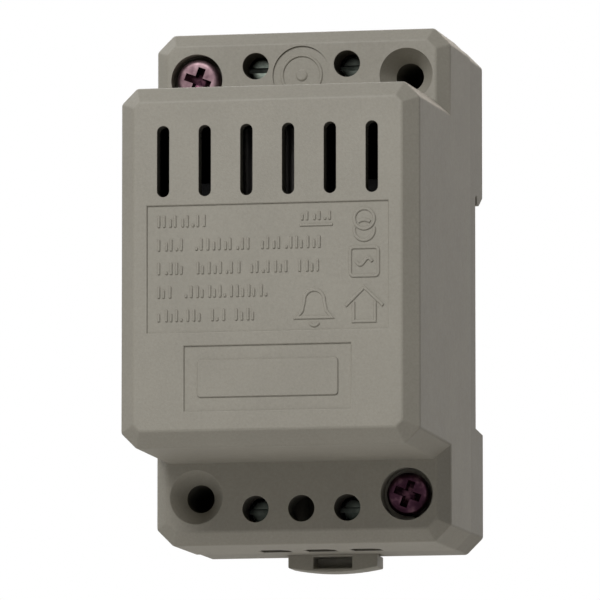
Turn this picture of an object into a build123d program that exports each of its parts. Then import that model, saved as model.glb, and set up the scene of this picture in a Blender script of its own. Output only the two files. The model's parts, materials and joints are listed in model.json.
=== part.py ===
from build123d import *
import os
from math import sqrt

# Bell transformer for a 35 mm rail or a wall, in millimetres.
# X runs to the right, Y to the back and Z up. The origin is the middle of the seat on the rail.

# Rail that the back hooks on to
RAIL_WIDTH = 35.0
RAIL_THICKNESS = 1.0
RAIL_CLEARANCE = 0.2
RAIL_SLACK = 0.3
HOOK_REACH = 1.0
HOOK_THICKNESS = 1.7
HOOK_LEAD_IN = 1.5
LOWER_LEAD_IN = 0.5

# Housing outside
WIDTH = 45.0
HEIGHT = 77.3
RAIL_DROP = 2.0
RECESS_DEPTH = 6.0
SHOULDER_DEPTH = 22.5
NOSE_DEPTH = 24.5
NOSE_HEIGHT = 53.5
NOSE_LIFT = 0.6
NOSE_LEAN_HEIGHT = 0.3
NOSE_CHAMFER = 2.3
NOSE_CORNER = 2.3
SHOULDER_CHAMFER = 1.9
HOUSING_CORNER = 2.5
SEAM_DEPTH = 5.0
BASE_INSET = 0.15
POCKET_COUNT = 3
POCKET_DEPTH = 4.0
POCKET_RIB = 1.6
POCKET_EDGE = 3.0

# Housing walls
WALL = 2.0
FRONT_WALL = 2.2
FLOOR = 2.0
LIP_WALL = 1.2
LIP_REACH = 1.8
PART_CLEARANCE = 0.1

# Front face
VENT_COUNT = 6
VENT_PITCH = 6.28
VENT_WIDTH = 1.85
VENT_LENGTH = 10.6
VENT_INSET = 11.25
PANEL_DEPTH = 0.3
LABEL_WIDTH = 36.2
LABEL_HEIGHT = 18.8
LABEL_DROP = 0.5
NAME_WIDTH = 25.0
NAME_HEIGHT = 9.6
NAME_DROP = 16.8
MARK_RADIUS = 4.4
MARK_INSET = 6.75

# Corner posts, the screws that close the housing and the holes for wall screws
POST_INSET_X = 6.45
POST_INSET_Z = 7.15
POST_HALF = 4.6
WALL_HOLE_RADIUS = 2.1
WALL_CONE_RADIUS = 4.05
WALL_CONE_DEPTH = 3.3
SCREW_SEAT_RADIUS = 3.95
SCREW_SEAT_DEPTH = 3.0
SCREW_HEAD_RADIUS = 3.25
SCREW_HEAD_HEIGHT = 2.4
SCREW_HEAD_EDGE = 0.5
SCREW_SHANK_RADIUS = 1.6
SCREW_SHANK_CLEARANCE = 0.2
SCREW_THREAD_CLEARANCE = 0.05
SCREW_BITE = 7.0
DRIVE_WIDTH = 1.1
DRIVE_LENGTH = 4.0
DRIVE_DEPTH = 1.3
DRIVE_TURN = 20.0

# Terminals: a screw lifts a cage that clamps the wire behind a busbar
TERMINAL_PITCH = 7.0
TERMINAL_INSET = 5.25
ACCESS_RADIUS = 2.0
ACCESS_LENGTH = 4.8
ACCESS_WALL = 1.0
TERMINAL_HEAD_GAP = 0.2
TERMINAL_HEAD_RADIUS = 2.3
TERMINAL_HEAD_HEIGHT = 2.0
TERMINAL_SHANK_RADIUS = 1.5
TERMINAL_SLOT_WIDTH = 0.8
TERMINAL_SLOT_DEPTH = 1.0
THREAD_CLEARANCE = 0.05
CAGE_WIDTH = 5.4
CAGE_LENGTH = 5.0
CAGE_SIDE = 0.8
CAGE_TOP = 1.6
CAGE_BOTTOM = 1.0
CAGE_TRAVEL = 2.8
CAGE_CLEARANCE = 0.3
WIRE_GAP = 3.0
BUSBAR_WIDTH = 3.2
BUSBAR_THICKNESS = 0.8
BUSBAR_TAIL = 0.4
SUPPORT_GAP = 1.1
SUPPORT_WALL = 1.6
ENTRY_WIDTH = 4.6
ENTRY_DEPTH = 5.6
ENTRY_CORNER = 1.0
ENTRY_SILL = 0.2

# Transformer: EI laminations whose whole outline follows from the width of an outer leg
LEG_WIDTH = 7.0
LEG_COUNT_DEEP = 5
LEG_COUNT_HIGH = 6
STACK = 14.8
CORE_CLEARANCE = 0.15
CRADLE_WALL = 1.5
CRADLE_GRIP = 4.0
CRADLE_HEIGHT = 5.0
RIB_WIDTH = 2.0
RIB_OFFSET = 6.0
BOBBIN_WALL = 0.8
BOBBIN_FLANGE = 0.9
BOBBIN_CLEARANCE = 0.2
COIL_OVERHANG = 8.6
COIL_SET_IN = 0.7
COIL_CORNER = 3.0
TAPE = 0.25
TAPE_CLEARANCE = 0.03
LINK_RADIUS = 1.2
LINK_LENGTH = 11.0
LEAD_RADIUS = 0.65
LEAD_SIDES = 6
LEAD_BEND = 2.0
LEAD_INSET = 3.4
LEAD_RISE = 4.7
LEAD_CLEARANCE = 0.85
LEAD_RUN = 5.0

# Rail clip and its spring
CLIP_WIDTH = 13.8
CLIP_WEB_WIDTH = 10.4
CLIP_FRONT = 0.8
CLIP_FLANGE = 1.8
CLIP_BACK_GAP = 0.4
CLIP_CLEARANCE = 0.2
LATCH_REACH = 1.2
LATCH_FLAT = 1.2
LATCH_GAP = 0.2
TAB_GAP = 0.15
TAB_DROP = 1.8
TAB_BOW_HEIGHT = 0.7
TAB_SLOT_WIDTH = 6.0
TAB_SLOT_DEPTH = 3.4
TAB_LIP = 0.6
SPRING_LENGTH = 9.0
SPRING_WIDTH = 3.0
SPRING_DEPTH = 3.0
SPRING_FOLD = 0.8
SPRING_LEGS = 7
SPRING_GAP = 0.05
SPRING_ROOM = 0.25
STOP_LENGTH = 2.0

# How far a cutting shape runs past the face that it opens
OVERCUT = 1.0

# Places that follow from the sizes
MID = RAIL_DROP
TOP = MID + HEIGHT / 2
BOTTOM = MID - HEIGHT / 2
SIDE = WIDTH / 2
BACK = RECESS_DEPTH
SEAM = -SEAM_DEPTH
SHOULDER = -SHOULDER_DEPTH
FACE = SHOULDER - NOSE_DEPTH
NOSE_MID = MID + NOSE_LIFT
NOSE_TOP = NOSE_MID + NOSE_HEIGHT / 2
RAIL_EDGE = RAIL_WIDTH / 2
POST_X = SIDE - POST_INSET_X
POST_Z = HEIGHT / 2 - POST_INSET_Z
TERMINAL_Z = HEIGHT / 2 - TERMINAL_INSET

# Terminal levels from front to back
ACCESS_END = SHOULDER + ACCESS_LENGTH
HEAD_FRONT = ACCESS_END + TERMINAL_HEAD_GAP
HEAD_BACK = HEAD_FRONT + TERMINAL_HEAD_HEIGHT
CAGE_SILL = SEAM - ENTRY_SILL
BUSBAR_BACK = CAGE_SILL - WIRE_GAP
BUSBAR_FRONT = BUSBAR_BACK - BUSBAR_THICKNESS
CAGE_CEILING = BUSBAR_FRONT - CAGE_CLEARANCE
CAGE_FRONT = CAGE_CEILING - CAGE_TOP
CAGE_BACK = CAGE_SILL + CAGE_BOTTOM

# Distances of the terminal pieces from mid-height
SUPPORT_OUT = TERMINAL_Z - CAGE_LENGTH / 2 - SUPPORT_GAP
SUPPORT_IN = SUPPORT_OUT - SUPPORT_WALL
LEAD_Z = (SUPPORT_OUT + SUPPORT_IN) / 2
BAY_WALL = TERMINAL_PITCH - CAGE_WIDTH - 2 * CAGE_CLEARANCE
BAY_END = TERMINAL_PITCH + TERMINAL_PITCH / 2 + BAY_WALL / 2
BAY_FRONT = CAGE_FRONT - CAGE_TRAVEL - CAGE_CLEARANCE

# Transformer levels, with the core centred between the front wall and the floor
CORE_DEPTH = LEG_COUNT_DEEP * LEG_WIDTH
CORE_HALF = LEG_COUNT_HIGH * LEG_WIDTH / 2
CORE_FRONT = (FACE + FRONT_WALL - FLOOR - CORE_DEPTH) / 2
CORE_BACK = CORE_FRONT + CORE_DEPTH
CORE_JOIN = CORE_BACK - LEG_WIDTH
WINDOW_FRONT = CORE_FRONT + LEG_WIDTH
COIL_FRONT = WINDOW_FRONT + BOBBIN_CLEARANCE
COIL_BACK = CORE_JOIN - BOBBIN_CLEARANCE
COIL_MID = (COIL_FRONT + COIL_BACK) / 2
FLANGE_X = STACK / 2 + COIL_OVERHANG
FLANGE_Z = 2 * LEG_WIDTH - BOBBIN_CLEARANCE
COIL_X = FLANGE_X - COIL_SET_IN
COIL_Z = FLANGE_Z - COIL_SET_IN
PRIMARY_Y = (COIL_FRONT + COIL_MID) / 2
SECONDARY_Y = (COIL_MID + COIL_BACK) / 2
LINK_X = COIL_X + TAPE_CLEARANCE + TAPE + TAPE_CLEARANCE + LINK_RADIUS

# Clip levels
CLIP_STEP = CLIP_FRONT + CLIP_FLANGE
CLIP_BACK = BACK - CLIP_BACK_GAP
CLIP_TOP = -RAIL_EDGE - RAIL_CLEARANCE - LATCH_GAP
LATCH_FRONT = RAIL_THICKNESS + LATCH_GAP
LATCH_TOP = -RAIL_EDGE + LATCH_REACH
TAB_TOP = BOTTOM + BASE_INSET - TAB_GAP
TAB_SIDE = BOTTOM - TAB_DROP
SPRING_TOP = CLIP_TOP - LATCH_REACH - CLIP_FLANGE
STOP_TOP = SPRING_TOP - SPRING_LENGTH - 2 * SPRING_GAP
STOP_BOTTOM = STOP_TOP - STOP_LENGTH
SPRING_SLOT = SPRING_WIDTH / 2 + SPRING_ROOM
SPRING_FRONT = CLIP_FRONT + SPRING_ROOM
SPRING_BACK = SPRING_FRONT + SPRING_DEPTH


def block(x, y, z):
    """Box between two values on each axis."""
    middle = Pos(sum(x) / 2, sum(y) / 2, sum(z) / 2)
    return middle * Box(x[1] - x[0], y[1] - y[0], z[1] - z[0])


def rod(radius, x, y, z):
    """Round bar along Y between two levels."""
    return Pos(x, sum(y) / 2, z) * Rot(90, 0, 0) * Cylinder(radius, y[1] - y[0])


def prism(outline, back, front, z=0):
    """Outline drawn in X and Z, drawn out from the back level to the front level."""
    return Pos(0, back, z) * Rot(90, 0, 0) * extrude(outline, back - front)


def side_prism(points, half_width):
    """Polygon drawn in Y and Z, drawn out to both sides."""
    return extrude(Plane.YZ * Polygon(*points, align=None), half_width, both=True)


def cut_corner_sheet(width, height, corner):
    """Rectangle with its four corners cut at 45 degrees."""
    sheet = Rectangle(width, height)
    return chamfer(sheet.vertices(), corner)


def inner_corner(corner, wall):
    """Corner cut that keeps the wall thickness inside an outer corner cut."""
    return max(corner - wall * (2 - sqrt(2)), PART_CLEARANCE)


def front_edges(solid):
    return solid.faces().sort_by(Axis.Y)[0].edges()


def housing_form(inset, front, back, corner):
    """Block with the outline of the housing, smaller by the inset."""
    sheet = cut_corner_sheet(WIDTH - 2 * inset, HEIGHT - 2 * inset, corner)
    return prism(sheet, back, front, MID)


def nose_form(inset, front, back, corner):
    """Block with the outline of the nose; its top and bottom walls lean out to the root."""
    low = NOSE_MID - NOSE_HEIGHT / 2 + inset
    high = NOSE_MID + NOSE_HEIGHT / 2 - inset
    lean = NOSE_LEAN_HEIGHT * (back - front) / NOSE_DEPTH
    points = [(front, low), (back, low - lean), (back, high + lean), (front, high)]
    solid = side_prism(points, SIDE - inset)
    long_edges = solid.edges().filter_by(lambda e: abs(e.tangent_at(0.5).Y) > abs(e.tangent_at(0.5).Z))
    long_edges = long_edges.filter_by(lambda e: abs(e.tangent_at(0.5).X) < PART_CLEARANCE)
    return chamfer(long_edges, corner)


def cover_outside():
    shoulder = housing_form(0, SHOULDER, SEAM, HOUSING_CORNER)
    shoulder = chamfer(front_edges(shoulder), SHOULDER_CHAMFER)
    nose = nose_form(0, FACE, SHOULDER + WALL, NOSE_CORNER)
    nose = chamfer(front_edges(nose), NOSE_CHAMFER)
    return shoulder + nose


def cover_inside():
    room = housing_form(WALL, SHOULDER + WALL, SEAM + OVERCUT, inner_corner(HOUSING_CORNER, WALL))
    nose_room = nose_form(WALL, FACE + FRONT_WALL, SHOULDER + 2 * WALL, inner_corner(NOSE_CORNER, WALL))
    return room + nose_room


def corner_post(right, up, front, back):
    """Square post that fills a corner of the housing."""
    x = sorted((right * (POST_X - POST_HALF), right * SIDE))
    z = sorted((MID + up * (POST_Z - POST_HALF), MID + up * HEIGHT / 2))
    return block(x, (front, back), z)


def bay_room(up):
    """Space behind the shoulder that the terminals of one end need."""
    end = BAY_END + PART_CLEARANCE
    z = sorted((MID + up * SUPPORT_IN, MID + up * (HEIGHT / 2 - BASE_INSET - WALL)))
    return block((-end, end), (BAY_FRONT, -FLOOR), z)


def corner_posts(front, back, inset):
    """Four posts that end inside the walls of a shell with the given inset."""
    posts = corner_post(1, 1, front, back)
    posts += corner_post(-1, 1, front, back)
    posts += corner_post(1, -1, front, back)
    posts += corner_post(-1, -1, front, back)
    depth = WALL / 2
    posts &= housing_form(inset + depth, front, back, inner_corner(HOUSING_CORNER, depth))
    return posts - [bay_room(1), bay_room(-1)]


def wall_hole(side):
    """Hole for a wall screw with its conical mouth; the two lie on one diagonal."""
    x = side * POST_X
    z = MID + side * POST_Z
    hole = rod(WALL_HOLE_RADIUS, x, (SHOULDER - OVERCUT, BACK + OVERCUT), z)
    cone = Cone(WALL_HOLE_RADIUS, WALL_CONE_RADIUS, WALL_CONE_DEPTH)
    return hole + Pos(x, SHOULDER + WALL_CONE_DEPTH / 2, z) * Rot(90, 0, 0) * cone


def screw_place(side):
    """X and Z of a cover screw; the two lie on the other diagonal."""
    return -side * POST_X, MID + side * POST_Z


def screw_hole(side):
    x, z = screw_place(side)
    seat = rod(SCREW_SEAT_RADIUS, x, (SHOULDER - OVERCUT, SHOULDER + SCREW_SEAT_DEPTH), z)
    shank = SCREW_SHANK_RADIUS + SCREW_SHANK_CLEARANCE
    return seat + rod(shank, x, (SHOULDER, SEAM + OVERCUT), z)


def access_block(up):
    """Thick bar behind the shoulder that the terminal holes run through."""
    half = TERMINAL_PITCH + ACCESS_RADIUS + ACCESS_WALL
    inner = MID + up * (TERMINAL_Z - ACCESS_RADIUS - ACCESS_WALL)
    outer = MID + up * (HEIGHT / 2 - WALL / 2)
    return block((-half, half), (SHOULDER + WALL / 2, ACCESS_END), sorted((inner, outer)))


def terminal_cuts(x, up):
    """Screwdriver hole in the shoulder and wire entry in the end wall of one terminal."""
    z = MID + up * TERMINAL_Z
    hole = rod(ACCESS_RADIUS, x, (SHOULDER - OVERCUT, ACCESS_END + OVERCUT), z)
    inner = HEIGHT / 2 - WALL - OVERCUT
    length = WALL + 2 * OVERCUT
    entry = extrude(cut_corner_sheet(ENTRY_WIDTH, 2 * ENTRY_DEPTH, ENTRY_CORNER), length)
    low = min(MID + up * inner, MID + up * (inner + length))
    return hole + Pos(x, SEAM, low) * entry


def vents():
    outline = Rot(0, 0, 90) * SlotOverall(VENT_LENGTH, VENT_WIDTH)
    row = [Pos(VENT_PITCH * (i - (VENT_COUNT - 1) / 2), 0) * outline for i in range(VENT_COUNT)]
    z = NOSE_TOP - VENT_INSET
    return [prism(slot, FACE + FRONT_WALL + OVERCUT, FACE - OVERCUT, z) for slot in row]


def panels():
    """Shallow fields in the front face and the round one in the upper shoulder."""
    floor = FACE + PANEL_DEPTH
    label = prism(Rectangle(LABEL_WIDTH, LABEL_HEIGHT), floor, FACE - OVERCUT, NOSE_MID - LABEL_DROP)
    name = prism(Rectangle(NAME_WIDTH, NAME_HEIGHT), floor, FACE - OVERCUT, NOSE_MID - NAME_DROP)
    mark = rod(MARK_RADIUS, 0, (SHOULDER - OVERCUT, SHOULDER + PANEL_DEPTH), TOP - MARK_INSET)
    mark -= nose_form(0, FACE, SHOULDER + WALL, NOSE_CORNER)
    return [label, name, mark]


def core_ribs():
    """Two ribs behind the front wall that hold the core back."""
    half = STACK / 2
    level = (FACE + FRONT_WALL / 2, CORE_FRONT)
    upper = NOSE_MID + RIB_OFFSET
    lower = NOSE_MID - RIB_OFFSET
    ribs = block((-half, half), level, (upper - RIB_WIDTH / 2, upper + RIB_WIDTH / 2))
    return ribs + block((-half, half), level, (lower - RIB_WIDTH / 2, lower + RIB_WIDTH / 2))


def front_cover():
    cover = cover_outside() - cover_inside()
    cover += corner_posts(SHOULDER + WALL / 2, SEAM, 0)
    cover += access_block(1)
    cover += access_block(-1)
    cover += core_ribs()
    cuts = [wall_hole(1), wall_hole(-1), screw_hole(1), screw_hole(-1)]
    cuts += [terminal_cuts(TERMINAL_PITCH, 1), terminal_cuts(-TERMINAL_PITCH, 1)]
    cuts += [terminal_cuts(TERMINAL_PITCH, -1), terminal_cuts(0, -1), terminal_cuts(-TERMINAL_PITCH, -1)]
    return cover - cuts - vents() - panels()


def rail_recess():
    """Notch for the rail, with the fixed hook over its upper edge."""
    slot = RAIL_THICKNESS + RAIL_SLACK
    edge = RAIL_EDGE + RAIL_CLEARANCE
    hook = RAIL_EDGE - HOOK_REACH
    upper = [(0, edge), (slot, edge), (slot, hook), (slot + HOOK_THICKNESS, hook)]
    upper += [(BACK, hook + HOOK_LEAD_IN), (BACK + OVERCUT, hook + HOOK_LEAD_IN)]
    lower = [(BACK + OVERCUT, -edge - LOWER_LEAD_IN), (BACK, -edge - LOWER_LEAD_IN), (0, -edge)]
    return side_prism(upper + lower, SIDE + OVERCUT)


def foot_pockets():
    """Hollows in the back of the upper foot, with ribs left between them."""
    half = POST_X - POST_HALF - POCKET_RIB
    width = (2 * half - (POCKET_COUNT - 1) * POCKET_RIB) / POCKET_COUNT
    z = (RAIL_EDGE - HOOK_REACH + HOOK_LEAD_IN + POCKET_EDGE, TOP - BASE_INSET - POCKET_EDGE)
    starts = [-half + i * (width + POCKET_RIB) for i in range(POCKET_COUNT)]
    return [block((x, x + width), (BACK - POCKET_DEPTH, BACK + OVERCUT), z) for x in starts]


def clip_channel():
    """T-shaped way for the rail clip through the lower foot."""
    half = CLIP_WIDTH / 2 + CLIP_CLEARANCE
    throat = CLIP_WEB_WIDTH / 2 + CLIP_CLEARANCE
    run = (BOTTOM - OVERCUT, -RAIL_EDGE)
    wide = block((-half, half), (CLIP_FRONT - CLIP_CLEARANCE, CLIP_STEP + CLIP_CLEARANCE), run)
    return wide + block((-throat, throat), (CLIP_FRONT, BACK + OVERCUT), run)


def clip_stop():
    """Stop in the channel that the spring bears on."""
    half = SPRING_WIDTH / 2
    return block((-half, half), (0, SPRING_BACK), (STOP_BOTTOM, STOP_TOP))


def bay_wall(middle, up):
    """Wall between two terminals."""
    x = (middle - BAY_WALL / 2, middle + BAY_WALL / 2)
    outer = MID + up * (HEIGHT / 2 - WALL - CAGE_CLEARANCE)
    return block(x, (BAY_FRONT, -FLOOR / 2), sorted((MID + up * SUPPORT_IN, outer)))


def terminal_bay(up, places):
    """Walls between the terminals and the wall that carries the busbars."""
    z = sorted((MID + up * SUPPORT_IN, MID + up * SUPPORT_OUT))
    bay = block((-BAY_END, BAY_END), (BUSBAR_BACK, -FLOOR / 2), z)
    for x in places:
        bay += bay_wall(x - TERMINAL_PITCH / 2, up)
        bay += bay_wall(x + TERMINAL_PITCH / 2, up)
    return bay


def cradle(up):
    """Pocket on the floor that one end of the core stands in."""
    half = STACK / 2 + CORE_CLEARANCE
    end = CORE_HALF + CORE_CLEARANCE
    z = sorted((NOSE_MID + up * (CORE_HALF - CRADLE_GRIP), NOSE_MID + up * (end + CRADLE_WALL)))
    outer = block((-half - CRADLE_WALL, half + CRADLE_WALL), (CORE_BACK - CRADLE_HEIGHT, -FLOOR / 2), z)
    z_room = sorted((NOSE_MID, NOSE_MID + up * end))
    return outer - block((-half, half), (CORE_FRONT, CORE_BACK), z_room)


def side_lip(right):
    """Lip that places the base inside the cover."""
    face = SIDE - WALL - PART_CLEARANCE
    x = sorted((right * (face - LIP_WALL), right * face))
    half = POST_Z - POST_HALF - LIP_WALL
    return block(x, (SEAM - LIP_REACH, -FLOOR / 2), (MID - half, MID + half))


def pilot_hole(side):
    x, z = screw_place(side)
    radius = SCREW_SHANK_RADIUS + SCREW_THREAD_CLEARANCE
    return rod(radius, x, (SEAM - OVERCUT, SEAM + SCREW_BITE + OVERCUT), z)


def base():
    tray = housing_form(BASE_INSET, SEAM, 0, HOUSING_CORNER)
    tray -= housing_form(
        BASE_INSET + WALL, SEAM - OVERCUT, -FLOOR, inner_corner(HOUSING_CORNER, WALL))
    tray += corner_posts(SEAM, 0, BASE_INSET)
    feet = housing_form(BASE_INSET, -FLOOR / 2, BACK, HOUSING_CORNER)
    solid = tray + feet + side_lip(1) + side_lip(-1) + cradle(1) + cradle(-1)
    bays = terminal_bay(1, (-TERMINAL_PITCH, TERMINAL_PITCH))
    bays += terminal_bay(-1, (-TERMINAL_PITCH, 0, TERMINAL_PITCH))
    solid += bays
    solid -= [rail_recess(), clip_channel()] + foot_pockets()
    solid += clip_stop()
    return solid - [wall_hole(1), wall_hole(-1), pilot_hole(1), pilot_hole(-1)]


def latch():
    """Sloped nose of the clip that snaps behind the lower rail edge."""
    low = CLIP_TOP - LATCH_REACH
    points = [(LATCH_FRONT, low), (LATCH_FRONT, LATCH_TOP), (LATCH_FRONT + LATCH_FLAT, LATCH_TOP)]
    points += [(CLIP_BACK, CLIP_TOP), (CLIP_BACK, low)]
    return side_prism(points, CLIP_WEB_WIDTH / 2)


def tab():
    """Foot of the clip below the housing, with a bowed lower edge and a slot for a screwdriver."""
    half = CLIP_WIDTH / 2
    edge = Polyline((half, TAB_SIDE), (half, TAB_TOP), (-half, TAB_TOP), (-half, TAB_SIDE))
    bow = ThreePointArc((-half, TAB_SIDE), (0, TAB_SIDE - TAB_BOW_HEIGHT), (half, TAB_SIDE))
    foot = prism(make_face(edge + bow), CLIP_BACK, CLIP_FRONT)
    x = (-TAB_SLOT_WIDTH / 2, TAB_SLOT_WIDTH / 2)
    y = (CLIP_FRONT - OVERCUT, CLIP_FRONT + TAB_SLOT_DEPTH)
    z = (TAB_SIDE - TAB_BOW_HEIGHT + TAB_LIP, TAB_TOP - TAB_GAP)
    return foot - block(x, y, z)


def rail_clip():
    half = CLIP_WIDTH / 2
    web = CLIP_WEB_WIDTH / 2
    clip = block((-half, half), (CLIP_FRONT, CLIP_STEP), (TAB_TOP, CLIP_TOP))
    clip += block((-web, web), (CLIP_FRONT, CLIP_BACK), (TAB_TOP, CLIP_TOP))
    clip += latch()
    clip += tab()
    room = (CLIP_FRONT - OVERCUT, SPRING_BACK + SPRING_ROOM)
    return clip - block((-SPRING_SLOT, SPRING_SLOT), room, (STOP_BOTTOM - SPRING_GAP, SPRING_TOP))


def clip_spring():
    """Leaf folded to and fro between the stop and the clip."""
    half = (SPRING_WIDTH - SPRING_FOLD) / 2
    low = STOP_TOP + SPRING_GAP
    rise = SPRING_LENGTH / SPRING_LEGS
    folds = [(half * (-1) ** i, low + i * rise) for i in range(SPRING_LEGS + 1)]
    right = [(x + SPRING_FOLD / 2, z) for x, z in folds]
    left = [(x - SPRING_FOLD / 2, z) for x, z in reversed(folds)]
    return prism(Polygon(*right, *left, align=None), SPRING_BACK, SPRING_FRONT)


def cover_screw(side):
    x, z = screw_place(side)
    seat = SHOULDER + SCREW_SEAT_DEPTH
    top = seat - SCREW_HEAD_HEIGHT
    head = rod(SCREW_HEAD_RADIUS, x, (top, seat), z)
    head = chamfer(front_edges(head), SCREW_HEAD_EDGE)
    slot = Box(DRIVE_LENGTH, 2 * DRIVE_DEPTH, DRIVE_WIDTH)
    slot += Box(DRIVE_WIDTH, 2 * DRIVE_DEPTH, DRIVE_LENGTH)
    head -= Pos(x, top, z) * Rot(0, DRIVE_TURN, 0) * slot
    return head + rod(SCREW_SHANK_RADIUS, x, (seat, SEAM + SCREW_BITE), z)


def cover_screws():
    return Compound([cover_screw(1), cover_screw(-1)])


def terminal_screw(x, up):
    z = MID + up * TERMINAL_Z
    head = rod(TERMINAL_HEAD_RADIUS, x, (HEAD_FRONT, HEAD_BACK), z)
    slot = Box(2 * TERMINAL_HEAD_RADIUS + OVERCUT, 2 * TERMINAL_SLOT_DEPTH, TERMINAL_SLOT_WIDTH)
    head -= Pos(x, HEAD_FRONT, z) * slot
    return head + rod(TERMINAL_SHANK_RADIUS, x, (HEAD_BACK, BUSBAR_FRONT - THREAD_CLEARANCE), z)


def cage(x, up):
    """Steel frame that the screw draws forward to clamp the wire."""
    half = CAGE_WIDTH / 2
    middle = MID + up * TERMINAL_Z
    z = (middle - CAGE_LENGTH / 2, middle + CAGE_LENGTH / 2)
    frame = block((x - half, x + half), (CAGE_FRONT, CAGE_BACK), z)
    z_room = (z[0] - OVERCUT, z[1] + OVERCUT)
    frame -= block((x - half + CAGE_SIDE, x + half - CAGE_SIDE), (CAGE_CEILING, CAGE_SILL), z_room)
    thread = TERMINAL_SHANK_RADIUS + THREAD_CLEARANCE
    return frame - rod(thread, x, (CAGE_FRONT - OVERCUT, CAGE_CEILING), middle)


def busbar(x, up):
    half = BUSBAR_WIDTH / 2
    tail = MID + up * (SUPPORT_IN - BUSBAR_TAIL)
    tip = MID + up * (TERMINAL_Z + CAGE_LENGTH / 2 - CAGE_CLEARANCE)
    return block((x - half, x + half), (BUSBAR_FRONT, BUSBAR_BACK), sorted((tail, tip)))


def core_e_stack():
    half = STACK / 2
    stack = block((-half, half), (CORE_FRONT, CORE_JOIN), (NOSE_MID - CORE_HALF, NOSE_MID + CORE_HALF))
    for up in (1, -1):
        z = sorted((NOSE_MID + up * LEG_WIDTH, NOSE_MID + up * 2 * LEG_WIDTH))
        stack -= block((-half - OVERCUT, half + OVERCUT), (WINDOW_FRONT, CORE_JOIN + OVERCUT), z)
    return stack


def core_i_stack():
    half = STACK / 2
    return block((-half, half), (CORE_JOIN, CORE_BACK), (NOSE_MID - CORE_HALF, NOSE_MID + CORE_HALF))


def bobbin_outline(grow):
    """Outline of the bobbin tube, larger than the centre leg by the given amount all round."""
    return Rectangle(STACK + 2 * grow, 2 * LEG_WIDTH + 2 * grow)


def bobbin():
    hole = bobbin_outline(BOBBIN_CLEARANCE)
    tube = prism(bobbin_outline(BOBBIN_CLEARANCE + BOBBIN_WALL) - hole, COIL_BACK, COIL_FRONT, NOSE_MID)
    flange = Rectangle(2 * FLANGE_X, 2 * FLANGE_Z) - hole
    tube += prism(flange, COIL_FRONT + BOBBIN_FLANGE, COIL_FRONT, NOSE_MID)
    tube += prism(flange, COIL_MID + BOBBIN_FLANGE / 2, COIL_MID - BOBBIN_FLANGE / 2, NOSE_MID)
    return tube + prism(flange, COIL_BACK, COIL_BACK - BOBBIN_FLANGE, NOSE_MID)


def coil_outline(grow):
    """Outline of a winding, larger all round by the given amount."""
    corner = inner_corner(COIL_CORNER, -grow)
    return cut_corner_sheet(2 * (COIL_X + grow), 2 * (COIL_Z + grow), corner)


def chamber(primary):
    """Front and back level of the room for one winding on the bobbin."""
    if primary:
        return COIL_FRONT + BOBBIN_FLANGE, COIL_MID - BOBBIN_FLANGE / 2
    return COIL_MID + BOBBIN_FLANGE / 2, COIL_BACK - BOBBIN_FLANGE


def winding(primary):
    front, back = chamber(primary)
    ring = coil_outline(0) - bobbin_outline(BOBBIN_CLEARANCE + BOBBIN_WALL)
    return prism(ring, back, front, NOSE_MID)


def tape(primary):
    front, back = chamber(primary)
    ring = coil_outline(TAPE_CLEARANCE + TAPE) - coil_outline(TAPE_CLEARANCE)
    return prism(ring, back, front, NOSE_MID)


def thermal_link():
    """Thermal cut-out on the side of the primary."""
    return Pos(LINK_X, PRIMARY_Y, NOSE_MID) * Cylinder(LINK_RADIUS, LINK_LENGTH)


def lead(start, terminal_x, up):
    """Insulated wire from a winding, over the core, to the tail of its busbar."""
    x, y, z = start
    rise = (x, y, NOSE_MID + up * (FLANGE_Z + LEAD_RISE))
    over_core = NOSE_MID + up * (CORE_HALF + LEAD_CLEARANCE + LEAD_RADIUS)
    crest = (terminal_x, SHOULDER + LEAD_RUN + LEAD_BEND, over_core)
    turn = (terminal_x, BUSBAR_FRONT - LEAD_RUN, MID + up * LEAD_Z)
    end = (terminal_x, BUSBAR_FRONT, MID + up * LEAD_Z)
    path = FilletPolyline(start, rise, crest, turn, end, radius=LEAD_BEND)
    section = Plane(origin=path @ 0, z_dir=path % 0) * RegularPolygon(LEAD_RADIUS, LEAD_SIDES)
    return sweep(section, path=path)


def coil_lead(side, up, y):
    """Lead that starts on the taped winding."""
    z = NOSE_MID + up * (COIL_Z + TAPE_CLEARANCE + TAPE)
    return lead((side * (COIL_X - LEAD_INSET), y, z), side * TERMINAL_PITCH, up)


def link_lead():
    """Lead that starts on the thermal link."""
    z = NOSE_MID + LINK_LENGTH / 2
    return lead((LINK_X, PRIMARY_Y, z), TERMINAL_PITCH, 1)


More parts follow.
